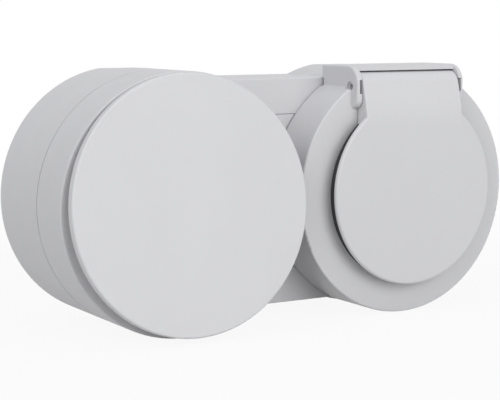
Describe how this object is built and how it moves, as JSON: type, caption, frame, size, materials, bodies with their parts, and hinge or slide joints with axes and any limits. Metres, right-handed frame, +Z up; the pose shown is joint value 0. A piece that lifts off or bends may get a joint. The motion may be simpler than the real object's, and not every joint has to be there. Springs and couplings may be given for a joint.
{
  "type": "switch and socket combination",
  "caption": "Surface-mounted splash-proof rocker switch beside a round socket outlet under a sprung lid, in two joined round housings.",
  "frame": {"origin": "on the wall face of the back box, midway between the two round housings", "axes": "+X to the right towards the socket, +Y into the wall, +Z up; the front faces -Y"},
  "size_m": [0.149, 0.0515, 0.0745],
  "materials": {
    "housing_plastic": "light grey moulded plastic with a very fine eroded texture",
    "rocker_plastic": "light grey moulded plastic, slightly smoother on the large face",
    "lid_plastic": "light grey moulded plastic",
    "insert_plastic": "light grey moulded plastic, satin",
    "inner_plastic": "off-white technical plastic",
    "seal_rubber": "dark soft elastomer",
    "grommet_rubber": "mid grey soft elastomer",
    "zinc_steel": "pressed steel with bright zinc plating",
    "screw_steel": "plated steel",
    "spring_steel": "drawn spring wire",
    "contact_brass": "stamped brass",
    "earth_metal": "stamped brass, lightly plated"
  },
  "bodies": {
    "housing": {"left_cup": "housing_plastic", "right_cup": "housing_plastic", "bridge": "housing_plastic", "entry_plate_left": "housing_plastic", "entry_plate_right": "housing_plastic", "bridge_cap_upper": "housing_plastic", "bridge_cap_lower": "housing_plastic", "gasket_left": "seal_rubber", "gasket_right": "seal_rubber", "grommet_left": "grommet_rubber", "grommet_right": "grommet_rubber", "switch_frame": "zinc_steel", "socket_frame": "zinc_steel", "frame_screws": "screw_steel", "switch_base": "inner_plastic", "upper_contact": "contact_brass", "lower_contact": "contact_brass", "common_contact": "contact_brass", "terminal_screws": "screw_steel", "switch_cover": "housing_plastic", "cover_screws": "screw_steel", "socket_base": "inner_plastic", "live_contact_left": "contact_brass", "live_contact_right": "contact_brass", "earth_bracket": "earth_metal", "socket_insert": "insert_plastic", "insert_screw": "screw_steel", "socket_cover": "housing_plastic", "lid_spring": "spring_steel"},
    "rocker": {"rocker": "rocker_plastic", "rocker_yoke": "inner_plastic", "plunger": "inner_plastic", "plunger_spring": "spring_steel"},
    "lever": {"contact_lever": "contact_brass"},
    "lid": {"lid": "lid_plastic", "lid_seal": "seal_rubber"}
  },
  "joints": [
    {"name": "rocker_tilt", "type": "hinge", "parent": "housing", "child": "rocker", "pos_m": [-0.0375, -0.0402, 0], "axis": [1, 0, 0], "range_deg": [0, 10.6]},
    {"name": "lever_tilt", "type": "hinge", "parent": "housing", "child": "lever", "pos_m": [-0.0375, -0.0272, 0], "axis": [1, 0, 0], "range_deg": [-12.01, 0]},
    {"name": "lid_hinge", "type": "hinge", "parent": "housing", "child": "lid", "pos_m": [0.0375, -0.0411, 0.0314], "axis": [-1, 0, 0], "range_deg": [0, 88], "stiffness_Nm_per_rad": 0.004, "springref_deg": -28.65, "deforming": ["lid_spring"]}
  ],
  "couplings": [
    {"joint": "lever_tilt", "follows": "rocker_tilt", "ratio": -1.1321}
  ]
}
